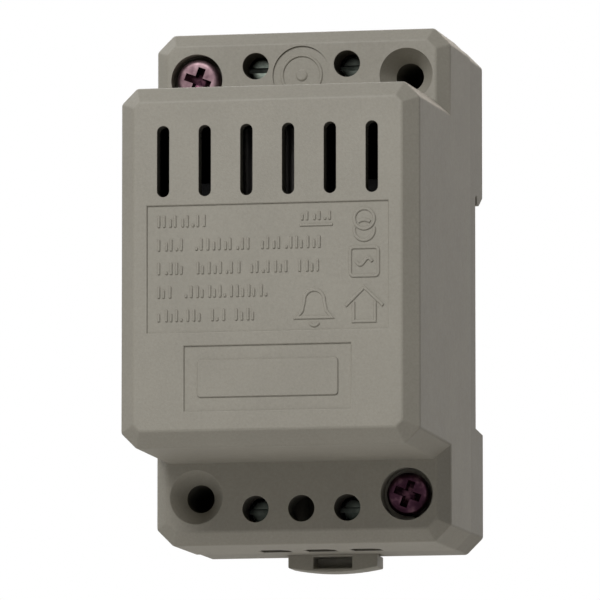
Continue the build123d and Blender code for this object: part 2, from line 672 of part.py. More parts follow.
nodes = {
    "front_cover": front_cover(),
    "base": base(),
    "cover_screws": cover_screws(),
    "rail_clip": rail_clip(),
    "clip_spring": clip_spring(),
    "core_e_stack": core_e_stack(),
    "core_i_stack": core_i_stack(),
    "bobbin": bobbin(),
    "primary_winding": winding(True),
    "secondary_winding": winding(False),
    "primary_tape": tape(True),
    "secondary_tape": tape(False),
    "thermal_link": thermal_link(),
    "primary_screw_left": terminal_screw(-TERMINAL_PITCH, 1),
    "primary_screw_right": terminal_screw(TERMINAL_PITCH, 1),
    "secondary_screw_left": terminal_screw(-TERMINAL_PITCH, -1),
    "secondary_screw_right": terminal_screw(TERMINAL_PITCH, -1),
    "primary_cage_left": cage(-TERMINAL_PITCH, 1),
    "primary_cage_right": cage(TERMINAL_PITCH, 1),
    "secondary_cage_left": cage(-TERMINAL_PITCH, -1),
    "secondary_cage_right": cage(TERMINAL_PITCH, -1),
    "primary_busbar_left": busbar(-TERMINAL_PITCH, 1),
    "primary_busbar_right": busbar(TERMINAL_PITCH, 1),
    "secondary_busbar_left": busbar(-TERMINAL_PITCH, -1),
    "secondary_busbar_right": busbar(TERMINAL_PITCH, -1),
    "primary_lead_left": coil_lead(-1, 1, PRIMARY_Y),
    "primary_lead_right": link_lead(),
    "secondary_lead_left": coil_lead(-1, -1, SECONDARY_Y),
    "secondary_lead_right": coil_lead(1, -1, SECONDARY_Y),
}

os.makedirs("parts", exist_ok=True)
for name, shape in nodes.items():
    export_step(shape, f"parts/{name}.step")
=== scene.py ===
import bmesh
import bpy
import json
import math
from mathutils import Matrix, Vector


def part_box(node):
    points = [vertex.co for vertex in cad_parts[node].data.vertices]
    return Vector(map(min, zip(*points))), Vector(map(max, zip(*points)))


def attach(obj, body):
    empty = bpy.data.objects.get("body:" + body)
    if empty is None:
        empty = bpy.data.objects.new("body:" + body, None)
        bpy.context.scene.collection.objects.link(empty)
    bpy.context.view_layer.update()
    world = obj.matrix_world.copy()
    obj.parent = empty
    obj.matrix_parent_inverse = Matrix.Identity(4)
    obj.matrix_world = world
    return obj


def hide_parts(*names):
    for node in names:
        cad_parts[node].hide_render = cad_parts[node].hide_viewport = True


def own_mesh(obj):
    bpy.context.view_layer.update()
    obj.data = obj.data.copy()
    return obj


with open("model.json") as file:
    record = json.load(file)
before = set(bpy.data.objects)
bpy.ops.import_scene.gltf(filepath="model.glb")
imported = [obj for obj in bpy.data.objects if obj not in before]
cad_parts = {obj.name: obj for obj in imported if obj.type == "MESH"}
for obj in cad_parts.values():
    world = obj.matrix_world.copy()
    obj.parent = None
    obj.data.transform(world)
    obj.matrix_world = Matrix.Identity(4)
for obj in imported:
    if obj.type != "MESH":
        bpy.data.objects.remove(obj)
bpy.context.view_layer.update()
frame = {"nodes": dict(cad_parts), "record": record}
nodes = frame["nodes"]

# Lengths are in millimetres, as in the CAD source; those of the materials are in metres
MM = 0.001
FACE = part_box("front_cover")[0].y / MM
NOSE_DEPTH = 24.5
SHOULDER = FACE + NOSE_DEPTH
# Depth of the shallow fields, and height of the relief on them
FIELD_DEPTH = 0.3
FIELD = FACE + FIELD_DEPTH
RELIEF = 0.2
# Level of the middle of each field
LABEL_MID = 2.1
NAME_MID = -14.2
MARK_MID = 33.9


class Shader:
    """One procedural material, with short calls for the nodes that it needs."""

    def __init__(self, name):
        self.material = bpy.data.materials.new(name)
        self.material.use_nodes = True
        self.tree = self.material.node_tree
        self.surface = self.tree.nodes["Principled BSDF"]
        self.coords = self.tree.nodes.new("ShaderNodeTexCoord").outputs["Object"]

    def put(self, socket, value):
        self.surface.inputs[socket].default_value = value

    def link(self, output, socket):
        self.tree.links.new(output, self.surface.inputs[socket])

    def noise(self, scale, detail=2.0, roughness=0.5, stretch=None):
        node = self.tree.nodes.new("ShaderNodeTexNoise")
        node.inputs["Scale"].default_value = scale
        node.inputs["Detail"].default_value = detail
        node.inputs["Roughness"].default_value = roughness
        self.tree.links.new(self.stretched(stretch), node.inputs["Vector"])
        return node.outputs["Fac"]

    def stretched(self, stretch):
        if stretch is None:
            return self.coords
        node = self.tree.nodes.new("ShaderNodeMapping")
        node.inputs["Scale"].default_value = stretch
        self.tree.links.new(self.coords, node.inputs["Vector"])
        return node.outputs["Vector"]

    def wave(self, scale, direction, distortion):
        node = self.tree.nodes.new("ShaderNodeTexWave")
        node.bands_direction = direction
        node.inputs["Scale"].default_value = scale
        node.inputs["Distortion"].default_value = distortion
        self.tree.links.new(self.coords, node.inputs["Vector"])
        return node.outputs["Fac"]

    def ramp(self, value, stops):
        node = self.tree.nodes.new("ShaderNodeValToRGB")
        elements = node.color_ramp.elements
        while len(elements) < len(stops):
            elements.new(0.5)
        for element, (place, colour) in zip(elements, stops):
            element.position = place
            element.color = (*colour, 1.0)
        self.tree.links.new(value, node.inputs["Fac"])
        return node.outputs["Color"]

    def span(self, value, low, high):
        node = self.tree.nodes.new("ShaderNodeMapRange")
        node.inputs["To Min"].default_value = low
        node.inputs["To Max"].default_value = high
        self.tree.links.new(value, node.inputs["Value"])
        return node.outputs["Result"]

    def multiply(self, colour, factor):
        node = self.tree.nodes.new("ShaderNodeMix")
        node.data_type = "RGBA"
        node.blend_type = "MULTIPLY"
        node.inputs["Factor"].default_value = 1.0
        self.tree.links.new(colour, node.inputs["A"])
        self.tree.links.new(factor, node.inputs["B"])
        return node.outputs["Result"]

    def bump(self, height, distance, strength, below=None):
        node = self.tree.nodes.new("ShaderNodeBump")
        node.inputs["Strength"].default_value = strength
        node.inputs["Distance"].default_value = distance
        self.tree.links.new(height, node.inputs["Height"])
        if below is not None:
            self.tree.links.new(below, node.inputs["Normal"])
        return node.outputs["Normal"]


def shade(colour, factor):
    return tuple(c * factor for c in colour)


def two_tone(colour, dark, light):
    """Stops of a ramp between a darker and a lighter shade of one colour."""
    return [(0.3, shade(colour, dark)), (0.7, shade(colour, light))]


def moulded_plastic(name, colour, gloss=0.5):
    """Matt moulded plastic: cloudy tone, fine speckle and a fine spark-eroded grain."""
    s = Shader(name)
    cloud = s.ramp(s.noise(scale=90, detail=3.0), two_tone(colour, 0.96, 1.04))
    speckle = s.span(s.noise(scale=2600, detail=3.0, roughness=0.7), low=0.84, high=1.16)
    s.link(s.multiply(cloud, speckle), "Base Color")
    s.link(s.span(s.noise(scale=900), low=0.5, high=0.66), "Roughness")
    s.put("Specular IOR Level", gloss)
    grain = s.bump(s.noise(scale=5200, roughness=0.6), distance=0.00004, strength=0.6)
    sinks = s.noise(scale=55, detail=1.0)
    s.link(s.bump(sinks, distance=0.0004, strength=0.22, below=grain), "Normal")
    return s.material


def metal(name, stops, roughness, scale=500, stretch=None):
    """Metal with a tone that drifts over the surface and fine drawing or plating marks."""
    s = Shader(name)
    drift = s.noise(scale, detail=3.0, roughness=0.6, stretch=stretch)
    s.link(s.ramp(drift, stops), "Base Color")
    s.put("Metallic", 1.0)
    wear = s.noise(scale * 3, roughness=0.6, stretch=stretch)
    s.link(s.span(wear, *roughness), "Roughness")
    marks = s.noise(scale * 6, roughness=0.6, stretch=stretch)
    s.link(s.bump(marks, distance=0.00001, strength=0.6), "Normal")
    return s.material


def laminated_steel(name):
    """Varnished core: each lamination's edge as a fine line across the stack."""
    s = Shader(name)
    edge = s.wave(scale=314, direction="X", distortion=0.3)
    tone = s.ramp(edge, [(0.1, (0.018, 0.016, 0.015)), (0.8, (0.07, 0.065, 0.06))])
    varnish = s.span(s.noise(scale=300, detail=3.0), low=0.75, high=1.2)
    s.link(s.multiply(tone, varnish), "Base Color")
    s.put("Metallic", 0.6)
    s.link(s.span(s.noise(scale=700), low=0.4, high=0.65), "Roughness")
    s.link(s.bump(edge, distance=0.00006, strength=0.8), "Normal")
    return s.material


def wound_wire(name):
    """Enamelled wire: turns side by side along the coil, with painted shade in the grooves
    between turns and painted light on their crowns.
    """
    s = Shader(name)
    turn = s.wave(scale=520, direction="Y", distortion=0.6)
    # The ramp darkens the grooves between turns and lightens their crowns: painted shade and
    # painted light
    tone = s.ramp(turn, [(0.0, (0.16, 0.05, 0.02)), (1.0, (0.5, 0.2, 0.08))])
    enamel = s.span(s.noise(scale=400), low=0.8, high=1.15)
    s.link(s.multiply(tone, enamel), "Base Color")
    s.put("Metallic", 0.7)
    s.link(s.span(s.noise(scale=800), low=0.28, high=0.42), "Roughness")
    s.link(s.bump(turn, distance=0.00008, strength=0.8), "Normal")
    return s.material


def sheathing(name, colour, roughness):
    """Film or wire insulation with a soft cloudy tone."""
    s = Shader(name)
    s.link(s.ramp(s.noise(scale=260, detail=3.0), two_tone(colour, 0.8, 1.15)), "Base Color")
    s.link(s.span(s.noise(scale=700), low=roughness, high=roughness + 0.15), "Roughness")
    s.link(s.bump(s.noise(scale=900), distance=0.00003, strength=0.5), "Normal")
    return s.material


HOUSING = (0.302, 0.283, 0.238)
NYLON = (0.022, 0.022, 0.022)
FILM = (0.42, 0.29, 0.05)
LINK_BODY = (0.5, 0.48, 0.42)
PRIMARY_SLEEVE = (0.13, 0.055, 0.022)
SECONDARY_SLEEVE = (0.3, 0.29, 0.28)
PLATING = [
    (0.3, (0.08, 0.045, 0.055)),
    (0.5, (0.18, 0.118, 0.13)),
    (0.72, (0.27, 0.19, 0.205)),
]
# Darker plating for the lower cover screw: painted shade of the nose's shadow and of dark
# reflections
SHADED_PLATING = [
    (0.3, (0.012, 0.004, 0.008)),
    (0.55, (0.045, 0.018, 0.03)),
    (0.75, (0.15, 0.08, 0.1)),
]
# Darker plating in the cross recesses: painted shade
RECESS_SHADE_PLATING = [(0.35, (0.012, 0.004, 0.008)), (0.75, (0.09, 0.04, 0.055))]
ZINC = [(0.3, (0.42, 0.44, 0.4)), (0.7, (0.62, 0.62, 0.56))]
# Dark tones of the terminal screws' faces: painted shade down their holes
HOLE_SHADE_TONES = [(0.3, (0.03, 0.038, 0.032)), (0.7, (0.13, 0.145, 0.125))]
# Lighter copy for one terminal face: painted light where light reaches down its hole
LIT_HOLE_TONES = [(step, shade(colour, 5.0)) for step, colour in HOLE_SHADE_TONES]
BRASS = [(0.3, (0.46, 0.32, 0.12)), (0.7, (0.66, 0.5, 0.22))]
STRIP = [(0.3, (0.3, 0.3, 0.31)), (0.7, (0.5, 0.5, 0.5))]
PLATING_GRAIN = 420
RECESS_GRAIN = 900

FINISH = {
    "housing": moulded_plastic("housing_plastic", HOUSING),
    # The base is a darker copy of the housing plastic: partly a tone difference between the two
    # mouldings, partly painted shade on the rear band
    "base": moulded_plastic("base_plastic_tone_and_shade", shade(HOUSING, 0.88)),
    "clip": moulded_plastic("clip_plastic", shade(HOUSING, 0.92)),
    "plated_screw": metal("plated_screw", PLATING, (0.42, 0.6), PLATING_GRAIN),
    "terminal_steel": metal("terminal_zinc", ZINC, (0.25, 0.4)),
    "busbar_brass": metal("busbar_brass", BRASS, (0.25, 0.42), stretch=(1, 1, 0.1)),
    "spring_steel": metal("spring_strip", STRIP, (0.22, 0.36)),
    "core_steel": laminated_steel("core_laminations"),
    "bobbin": moulded_plastic("bobbin_nylon", NYLON),
    "copper": wound_wire("winding_wire"),
    "tape": sheathing("polyester_tape", FILM, 0.22),
    "link": sheathing("link_body", LINK_BODY, 0.4),
    "primary_insulation": sheathing("primary_sleeve", PRIMARY_SLEEVE, 0.3),
    "secondary_insulation": sheathing("secondary_sleeve", SECONDARY_SLEEVE, 0.3),
}
# Looks for a part of a piece, all of them painted shade or painted light: darker matt plastic
# inside the mouldings, darker plating on the lower cover screw and in the cross recesses, dark
# faces on the terminal screws down their holes, and a lighter face on one of them
INNER_SHADE = moulded_plastic("inner_plastic_painted_shade", shade(HOUSING, 0.4), gloss=0.0)
SHADED_SCREW = metal("plated_screw_painted_shade", SHADED_PLATING, (0.24, 0.4), PLATING_GRAIN)
RECESS_SHADE = metal("recess_painted_shade", RECESS_SHADE_PLATING, (0.2, 0.4), RECESS_GRAIN)
HOLE_SHADE = metal("terminal_painted_shade", HOLE_SHADE_TONES, (0.35, 0.5))
HOLE_LIGHT = metal("terminal_painted_light", LIT_HOLE_TONES, (0.3, 0.45))


def finish(piece, look):
    """Gives a piece one look all over."""
    piece.data.materials.clear()
    piece.data.materials.append(FINISH[look])


for entry in frame["record"]["subparts"]:
    finish(nodes[entry["node"]], entry["material_slot"])


WELD_GAP = 0.002
FLAT_TURN = math.radians(0.5)
SOFT_TURN = math.radians(25)
SOFT_STEPS = 2
# Edge radius of each CAD piece whose name holds the word
SOFT_EDGES = {
    "rail_clip": 0.16,
    "_cage_": 0.1,
    "_busbar_": 0.12,
    "bobbin": 0.1,
    "core_": 0.12,
    "_lead_": 0.28,
    "thermal_link": 0.12,
}


def soften(piece, radius):
    """Small rounded edges, by modifiers, so that edges catch the light."""
    weld = piece.modifiers.new("weld", "WELD")
    weld.merge_threshold = WELD_GAP * MM
    flat = piece.modifiers.new("flat", "DECIMATE")
    flat.decimate_type = "DISSOLVE"
    flat.angle_limit = FLAT_TURN
    bevel = piece.modifiers.new("edges", "BEVEL")
    bevel.width = radius * MM
    bevel.segments = SOFT_STEPS
    bevel.limit_method = "ANGLE"
    bevel.angle_limit = SOFT_TURN
    bevel.use_clamp_overlap = True


for name in nodes:
    for part, radius in SOFT_EDGES.items():
        if part in name:
            soften(nodes[name], radius)


def new_piece(name, mesh, look, body, replaced=None):
    """Object from a bmesh, with its finish, that rides on a body and may stand for a CAD node."""
    bmesh.ops.recalc_face_normals(mesh, faces=mesh.faces)
    data = bpy.data.meshes.new(name)
    mesh.to_mesh(data)
    mesh.free()
    piece = bpy.data.objects.new(name, data)
    bpy.context.scene.collection.objects.link(piece)
    finish(piece, look)
    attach(piece, body)
    if replaced is not None:
        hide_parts(replaced)
    return piece


def box_of(node):
    """Corners of a CAD node's box in millimetres."""
    return [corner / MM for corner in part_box(node)]


def place(x, y, z):
    """Point in metres from millimetres."""
    return Vector((x, y, z)) * MM


def loft(mesh, rings, closed=False):
    """Skin over rings of points, all of one count; it has caps, or runs round to its start."""
    rows = [[mesh.verts.new(point) for point in ring] for ring in rings]
    count = len(rows[0])
    ahead = rows[1:] + rows[:1] if closed else rows[1:]
    for low, high in zip(rows, ahead):
        for k in range(count):
            after = (k + 1) % count
            mesh.faces.new((low[k], low[after], high[after], high[k]))
    if not closed:
        mesh.faces.new(rows[0][::-1])
        mesh.faces.new(rows[-1])


def lathe(mesh, profile, x, z, steps):
    """Turned form about an axis along Y, from a profile of radius and Y."""
    turns = [2 * math.pi * k / steps for k in range(steps)]
    rings = []
    for r, y in profile:
        rings.append([place(x + r * math.cos(t), y, z + r * math.sin(t)) for t in turns])
    loft(mesh, rings)


# Start and end of a thread's crest, as shares of the pitch
CREST = (0.4, 0.55)


def threaded(start, end, radius, pitch, depth):
    """Profile of a thread as a row of ridges."""
    root = radius - depth
    profile = []
    for k in range(int((end - start) / pitch)):
        level = start + k * pitch
        profile.append((root, level))
        profile += [(radius, level + pitch * share) for share in CREST]
    return profile + [(root, end)]


def combine(piece, tool_mesh, operation, shade_lining=None):
    """Joins, cuts or trims a piece with a closed form; the walls of a cut may get a darker
    material as painted shade.
    """
    bmesh.ops.recalc_face_normals(tool_mesh, faces=tool_mesh.faces)
    data = bpy.data.meshes.new("tool")
    tool_mesh.to_mesh(data)
    tool_mesh.free()
    data.materials.append(shade_lining or piece.data.materials[0])
    tool = bpy.data.objects.new("tool", data)
    bpy.context.scene.collection.objects.link(tool)
    step = piece.modifiers.new("step", "BOOLEAN")
    step.operation = operation
    step.object = tool
    step.solver = "EXACT"
    step.material_mode = "TRANSFER"
    graph = bpy.context.evaluated_depsgraph_get()
    result = bpy.data.meshes.new_from_object(piece.evaluated_get(graph))
    piece.modifiers.clear()
    piece.data = result
    bpy.data.objects.remove(tool)


SMOOTH_TURN = math.radians(32)
MOULDING_TURN = math.radians(25)


def smooth(piece, turn=SMOOTH_TURN):
    """Smooth shading, apart from edges that turn by more than an angle."""
    piece.data.shade_smooth()
    piece.data.set_sharp_from_angle(angle=turn)


ARC_STEPS = 5


def arc_corner(before, corner, after, radius, steps):
    """Points of an arc that rounds one corner of a path in a plane."""
    a, b = (before - corner).normalized(), (after - corner).normalized()
    half = a.angle(b) / 2
    centre = corner + (a + b).normalized() * radius / math.sin(half)
    start = corner + a * radius / math.tan(half) - centre
    end = corner + b * radius / math.tan(half) - centre
    sweep = start.angle_signed(end)
    return [centre + Matrix.Rotation(-sweep * k / steps, 2) @ start for k in range(steps + 1)]


def rounded_path(points, radius, steps=ARC_STEPS):
    """Open path with an arc at each inner corner."""
    path = [points[0]]
    for before, corner, after in zip(points, points[1:], points[2:]):
        path += arc_corner(before, corner, after, radius, steps)
    return path + [points[-1]]


def rounded_ring(points, radius):
    """Closed outline with an arc at each corner."""
    ring = []
    for i, corner in enumerate(points):
        after = points[(i + 1) % len(points)]
        ring += arc_corner(points[i - 1], corner, after, radius, ARC_STEPS)
    return ring


# Outer form of the housing, as in the CAD source
SIDE = 22.5
MID, HALF_HEIGHT = 2.0, 38.65
TOP, BOTTOM = MID + HALF_HEIGHT, MID - HALF_HEIGHT
NOSE_MID, NOSE_HALF = 2.6, 26.75
# The nose is this much taller at its root, above and below
NOSE_DRAFT = 0.3
NOSE_LEAN = NOSE_DRAFT / NOSE_DEPTH
NOSE_CHAMFER, NOSE_CORNER = 2.3, 2.3
SHOULDER_CHAMFER, SHOULDER_CORNER = 1.9, 2.5
SEAM, BACK = -5.0, 6.0
BASE_INSET = 0.15
# Radii of the rounded chamfers and corner cuts, and of the back edge
EDGE_RADIUS = 0.8
BACK_RADIUS = 0.45
# The trimming block stands off the CAD faces by this much, so that it cuts only edges
SKIN = 0.006
# The blocks reach past the shoulder and the seam, so that they leave no step there
NOSE_ROOT = 4
SEAM_OVERLAP = 1
# Flat that gives the last arc of a path its direction, and is then left out
RUN_ON = 1


def octagon(half_width, low, high, corner, inset):
    """Corners of a rectangle with cut corners, moved in by the inset."""
    x, bottom, top = half_width - inset, low + inset, high - inset
    cut = corner - inset * (2 - math.sqrt(2))
    right = [(x - cut, bottom), (x, bottom + cut), (x, top - cut), (x - cut, top)]
    left = [(-px, pz) for px, pz in reversed(right)]
    return [Vector(p) for p in right + left]


def moulded_block(levels, half_width, middle, half_height, corner, lean=0.0):
    """Block with cut corners and rounded edges; each level has an inset and a Y."""
    mesh = bmesh.new()
    rings = []
    for inset, y in levels:
        tall = half_height + SKIN + lean * (y - FACE)
        points = octagon(half_width + SKIN, middle - tall, middle + tall, corner, inset)
        rings.append([place(p.x, y, p.y) for p in rounded_ring(points, EDGE_RADIUS)])
    loft(mesh, rings)
    return mesh


def rounded_levels(corners, radius):
    """Levels along a path of insets and Y with rounded corners."""
    path = rounded_path([Vector(corner) for corner in corners], radius)
    return [tuple(p) for p in path[:-1]]


def front_levels(front, back, chamfer):
    """Levels from the back of a block over its chamfered and rounded front edge."""
    start = (0, back - SKIN)
    outer, inner = (0, front + chamfer - SKIN), (chamfer, front - SKIN)
    return rounded_levels([start, outer, inner, (chamfer + RUN_ON, front - SKIN)], EDGE_RADIUS)


# Edges that turn by more than this may be rounded
SHARP = math.radians(50)
RIM_STEPS = 3
RIM = 0.2
ENTRY_RIM = 0.15


def clean_copy(node):
    """Mesh of a CAD node in the shared frame, with one face for each flat."""
    mesh = bmesh.new()
    mesh.from_mesh(nodes[node].data)
    mesh.transform(nodes[node].matrix_world)
    bmesh.ops.remove_doubles(mesh, verts=mesh.verts, dist=WELD_GAP * MM)
    bmesh.ops.dissolve_limit(mesh, angle_limit=FLAT_TURN, verts=mesh.verts, edges=mesh.edges)
    return mesh


def round_edges(mesh, radius, chosen, least=SHARP):
    """Rounds the sharp edges that the test picks by their two ends."""
    picked = []
    for edge in mesh.edges:
        if edge.is_manifold and edge.calc_face_angle() > least:
            if chosen(*(vert.co / MM for vert in edge.verts)):
                picked.append(edge)
    bmesh.ops.bevel(
        mesh,
        geom=picked,
        offset=radius * MM,
        segments=RIM_STEPS,
        profile=0.5,
        affect="EDGES",
        clamp_overlap=True,
    )


# Axes of the wall holes and the screw seats in X and Z, their radii, and the seats' depth
WALL_HOLES = ((16.05, 33.5), (-16.05, -29.5))
SCREW_SEATS = ((-16.05, 33.5), (16.05, -29.5))
BORE = 2.2
CONE = 4.6
SEAT_DEPTH = 3.0
# Faces nearer to the outer skin or to the back than this belong to the outside
SHELL = 0.45
BACK_SHELL = 0.6
# Behind this level the base is open to the rail, and counts as outside
BAY_BACK = -1.0


def depth_in(x, y, z, front, middle, half_height, chamfer, corner):
    """Depth of a spot under the skin of a block with a chamfered front and cut corners."""
    side, end, ahead = SIDE - abs(x), half_height - abs(z - middle), y - front
    cut = (side + end - corner) / math.sqrt(2)
    nearest = min(side, end, cut)
    return min(nearest, ahead, (nearest + ahead - chamfer) / math.sqrt(2))


def way_off(x, z, spots):
    """Distance to the nearest of some axes along Y."""
    return min(math.hypot(x - spot_x, z - spot_z) for spot_x, spot_z in spots)


def is_inside(spot, is_cover):
    """Tells the shafts, bays and inside walls of a moulding from its outer skin; the inside gets
    painted shade.
    """
    x, y, z = spot / MM
    nose = depth_in(x, y, z, FACE, NOSE_MID, NOSE_HALF, NOSE_CHAMFER, NOSE_CORNER)
    shoulder = depth_in(x, y, z, SHOULDER, MID, HALF_HEIGHT, SHOULDER_CHAMFER, SHOULDER_CORNER)
    if max(nose, shoulder) < SHELL or y > BACK - BACK_SHELL:
        return False
    if way_off(x, z, WALL_HOLES) < CONE:
        return way_off(x, z, WALL_HOLES) < BORE
    if way_off(x, z, SCREW_SEATS) < CONE and y < SHOULDER + SEAT_DEPTH:
        return False
    return is_cover or y < BAY_BACK


def smooth_moulding(piece, is_cover):
    """Flat faces stay flat and rounded edges run into them; inside faces get a darker matt
    plastic as painted shade.
    """
    piece.data.materials.append(INNER_SHADE)
    last = len(piece.data.materials) - 1
    for face in piece.data.polygons:
        # inside faces get the darker matt plastic: painted shade
        if is_inside(face.center, is_cover):
            face.material_index = last
    smooth(piece, MOULDING_TURN)
    even = piece.modifiers.new("even", "WEIGHTED_NORMAL")
    even.keep_sharp = True
    even.weight = 100


# An edge lies on a level when both its ends are nearer than this
NEAR = 0.01
# Round rims are made of pieces shorter than this
RIM_PIECE = 1.0
# The nose cuts off the upper rims that are farther out, or nearer the middle, than these
CUT_OFF_OUT, CUT_OFF_IN = 11, 5
# Level between the vents and the fields, and half the room for the fields
VENT_FOOT = 12.5
FIELD_SIDE = 19
# Half the room for the wire entries, and the level in front of them
ENTRY_SIDE = 10
ENTRY_FRONT = -12
# Straight back edges are longer than this, and start behind this level
BACK_EDGE = 0.9
BACK_EDGE_FRONT = -0.1
OUTLINE_MARGIN = 0.05


def on_level(a, b, level):
    return abs(a.y - level) < NEAR and abs(b.y - level) < NEAR


def is_hole_rim(a, b):
    """Rims of the round holes in the shoulders, without those that the nose cuts off."""
    spot = (a + b) / 2
    cut_off = spot.z > MID and (abs(spot.x) > CUT_OFF_OUT or abs(spot.x) < CUT_OFF_IN)
    return on_level(a, b, SHOULDER) and (a - b).length < RIM_PIECE and not cut_off


def is_vent_rim(a, b):
    return on_level(a, b, FACE) and min(a.z, b.z) > VENT_FOOT


def is_field_rim(a, b):
    in_room = max(a.z, b.z) < VENT_FOOT and max(abs(a.x), abs(b.x)) < FIELD_SIDE
    return on_level(a, b, FACE) and in_room


def is_entry_rim(a, b):
    """Rims of the wire entries in the end walls."""
    at_end = any(abs(a.z - end) < NEAR and abs(b.z - end) < NEAR for end in (TOP, BOTTOM))
    return at_end and max(abs(a.x), abs(b.x)) < ENTRY_SIDE and min(a.y, b.y) > ENTRY_FRONT


def is_back_edge(a, b):
    """Straight edges of the rail recess, the hook, the hollows and the clip's way."""
    margin = BASE_INSET + OUTLINE_MARGIN
    outline = abs(a.x) > SIDE - margin or a.z > TOP - margin or a.z < BOTTOM + margin
    straight = min(a.y, b.y) > BACK_EDGE_FRONT and (a - b).length > BACK_EDGE
    return straight and not (outline and on_level(a, b, BACK))


def cover_moulding():
    """Cover whose chamfers, corner cuts and rims are rounded."""
    mesh = clean_copy("front_cover")
    round_edges(mesh, RIM, is_hole_rim)
    round_edges(mesh, RIM, is_vent_rim)
    round_edges(mesh, RIM, is_field_rim)
    round_edges(mesh, ENTRY_RIM, is_entry_rim)
    piece = new_piece("front_cover_moulding", mesh, "housing", "housing", "front_cover")
    nose_levels = front_levels(FACE, SHOULDER + NOSE_ROOT, NOSE_CHAMFER)
    nose = moulded_block(nose_levels, SIDE, NOSE_MID, NOSE_HALF, NOSE_CORNER, NOSE_LEAN)
    shoulder_levels = front_levels(SHOULDER, SEAM + SEAM_OVERLAP, SHOULDER_CHAMFER)
    shoulder = moulded_block(shoulder_levels, SIDE, MID, HALF_HEIGHT, SHOULDER_CORNER)
    form = new_piece("cover_form", shoulder, "housing", "housing")
    combine(form, nose, "UNION")
    block = bmesh.new()
    block.from_mesh(form.data)
    bpy.data.objects.remove(form)
    combine(piece, block, "INTERSECT")
    smooth_moulding(piece, is_cover=True)


def base_moulding():
    """Base whose corner cuts and back edges are rounded."""
    mesh = clean_copy("base")
    round_edges(mesh, RIM, is_back_edge)
    piece = new_piece("base_moulding", mesh, "base", "housing", "base")
    back = BACK + SKIN
    levels = rounded_levels([(0, FACE), (0, back), (RUN_ON, back)], BACK_RADIUS)
    half_height = HALF_HEIGHT - BASE_INSET
    block = moulded_block(levels, SIDE - BASE_INSET, MID, half_height, SHOULDER_CORNER)
    combine(piece, block, "INTERSECT")
    smooth_moulding(piece, is_cover=False)


cover_moulding()
base_moulding()


COIL_ROUND = 2.9
# Turn of the coil's cut corners, and the least turn of an edge to be rounded there
COIL_TURN = math.radians(45)
COIL_LEAST = math.radians(40)
# The coil's edges are longer than this, and its cut corners lie farther out than this
COIL_EDGE = 1.0
COIL_CORE = 10
# Thickness of the tape and cut of its outer corners, as in the CAD source
TAPE = 0.25
TAPE_CORNER = 3.164


def is_coil_corner(a, b):
    """Edges along the coil's axis at its cut outer corners."""
    return abs(a.y - b.y) > COIL_EDGE and abs(a.x) > COIL_CORE


def wound_coil(node):
    """Winding whose cut corners are rounded, as wire lies."""
    mesh = clean_copy(node)
    offset = COIL_ROUND * math.tan(COIL_TURN / 2)
    round_edges(mesh, offset, is_coil_corner, COIL_LEAST)
    smooth(new_piece(node + "_turns", mesh, "copper", "housing", node))


def wrapped_tape(node):
    """One layer of film that follows the rounded corners of its winding."""
    low, high = box_of(node)
    skins = []
    for inset in (0.0, TAPE):
        corners = octagon(high.x, low.z, high.z, TAPE_CORNER, inset)
        skins.append(rounded_ring(corners, COIL_ROUND + TAPE - inset))
    rings = []
    for outer, inner in zip(*skins):
        section = ((outer, low.y), (outer, high.y), (inner, high.y), (inner, low.y))
        rings.append([place(p.x, y, p.y) for p, y in section])
    mesh = bmesh.new()
    loft(mesh, rings, closed=True)
    smooth(new_piece(node + "_layer", mesh, "tape", "housing", node))


for side in ("primary", "secondary"):
    wound_coil(side + "_winding")
    wrapped_tape(side + "_tape")


# Radius of the small flat that ends a turned form
AXIS = 0.02
# Profile of a cover screw's head, as radius and depth under its top
COVER_HEAD = [
    (AXIS, 0.0),
    (2.4, 0.0),
    (2.7, 0.04),
    (2.92, 0.19),
    (3.1, 0.38),
    (3.21, 0.55),
    (3.25, 0.75),
    (3.25, 2.4),
]
COVER_RADIUS, COVER_TALL = COVER_HEAD[-1]
COVER_SHANK = 1.6
COVER_PITCH, COVER_THREAD = 1.0, 0.3
# Depth of the thread's start under the head's top, and length of the plain tip
COVER_START, COVER_TIP = 8.0, 0.8
COVER_STEPS = 56
# Turn of the cross, and its sections as depth, reach and half width
DRIVE_TURN = -20.0
CROSS = ((-0.5, 2.2, 0.64), (0.0, 2.05, 0.58), (1.15, 1.15, 0.46), (1.3, 0.8, 0.4))


def cross_recess(mesh, x, y, z):
    """Tapered cross for the screwdriver, as a closed form from above the head down into it."""
    rings = []
    for level, reach, half in CROSS:
        ring = []
        for quarter in range(4):
            turn = math.radians(DRIVE_TURN + 90 * quarter)
            ahead = Vector((math.cos(turn), math.sin(turn)))
            left = Vector((-ahead.y, ahead.x))
            tip, flank = ahead * reach, left * half
            for spot in (tip - flank, tip + flank, ahead * half + flank):
                ring.append(place(x + spot.x, y + level, z + spot.y))
        rings.append(ring)
    loft(mesh, rings)


